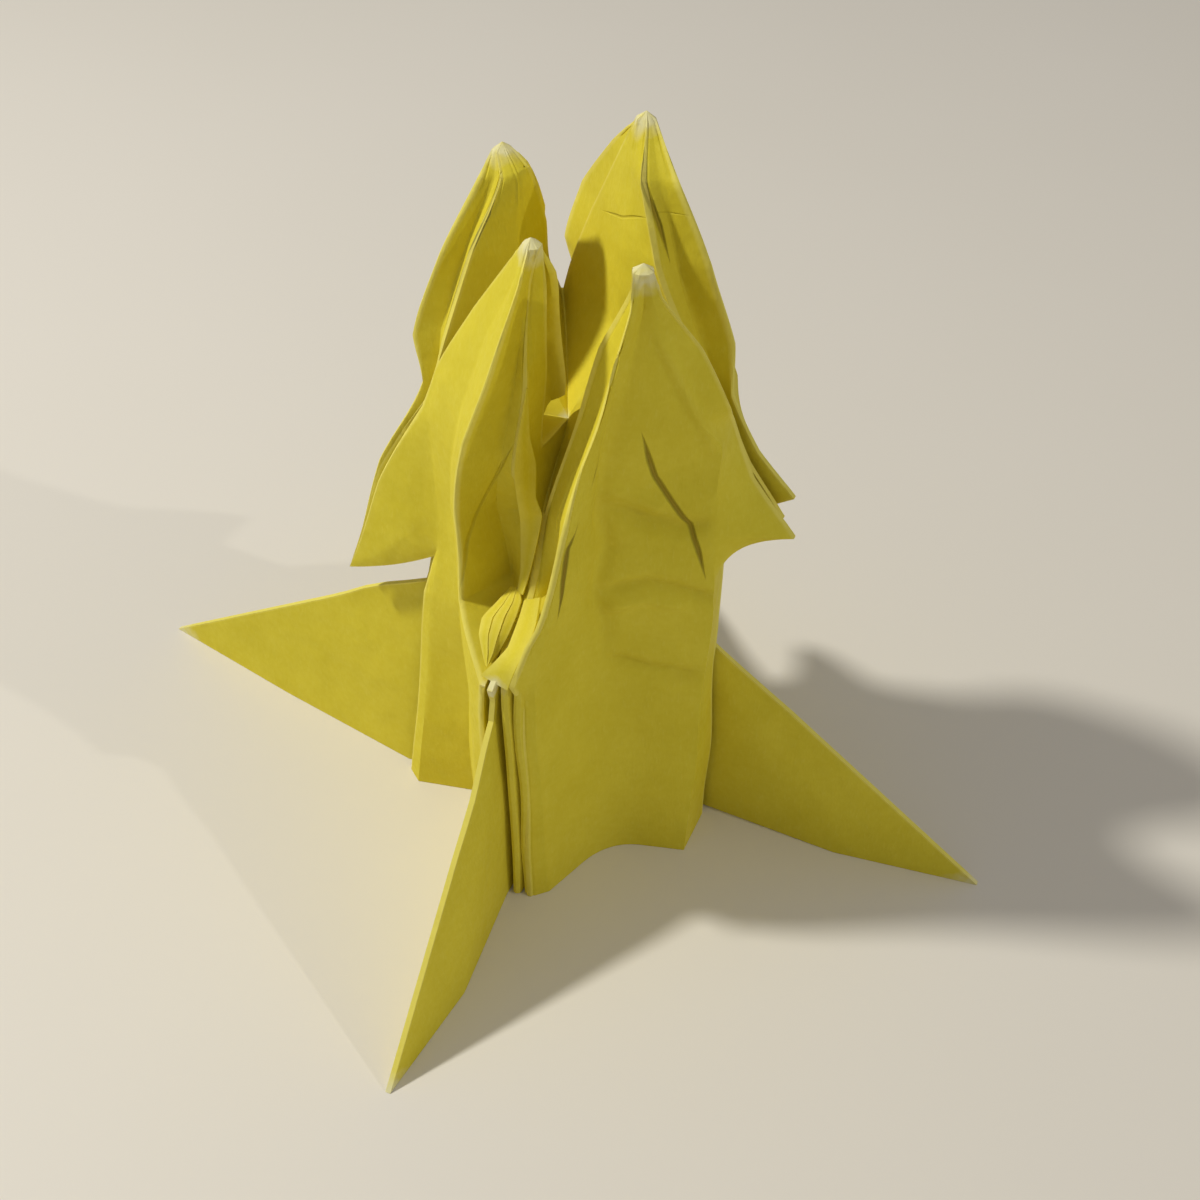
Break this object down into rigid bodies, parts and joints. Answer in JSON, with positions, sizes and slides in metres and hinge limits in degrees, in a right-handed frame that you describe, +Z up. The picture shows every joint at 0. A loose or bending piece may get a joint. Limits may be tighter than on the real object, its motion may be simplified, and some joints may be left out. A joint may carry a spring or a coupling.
{
  "type": "origami crane figure",
  "caption": "Free-standing origami figure folded from a square of yellow paper: a column with splayed triangular fins, small flaps and upright pointed towers.",
  "frame": {"origin": "on the table, under the middle of the figure's outline; the column's axis is 2 mm to +X of it", "axes": "+Z up from the table, +X along the right fin, -Y along the front fin"},
  "size_m": [0.0794, 0.0694, 0.0619],
  "materials": {
    "yellow_paper": "matte"
  },
  "bodies": {
    "root": {"folded_sheet": "yellow_paper"}
  },
  "joints": []
}
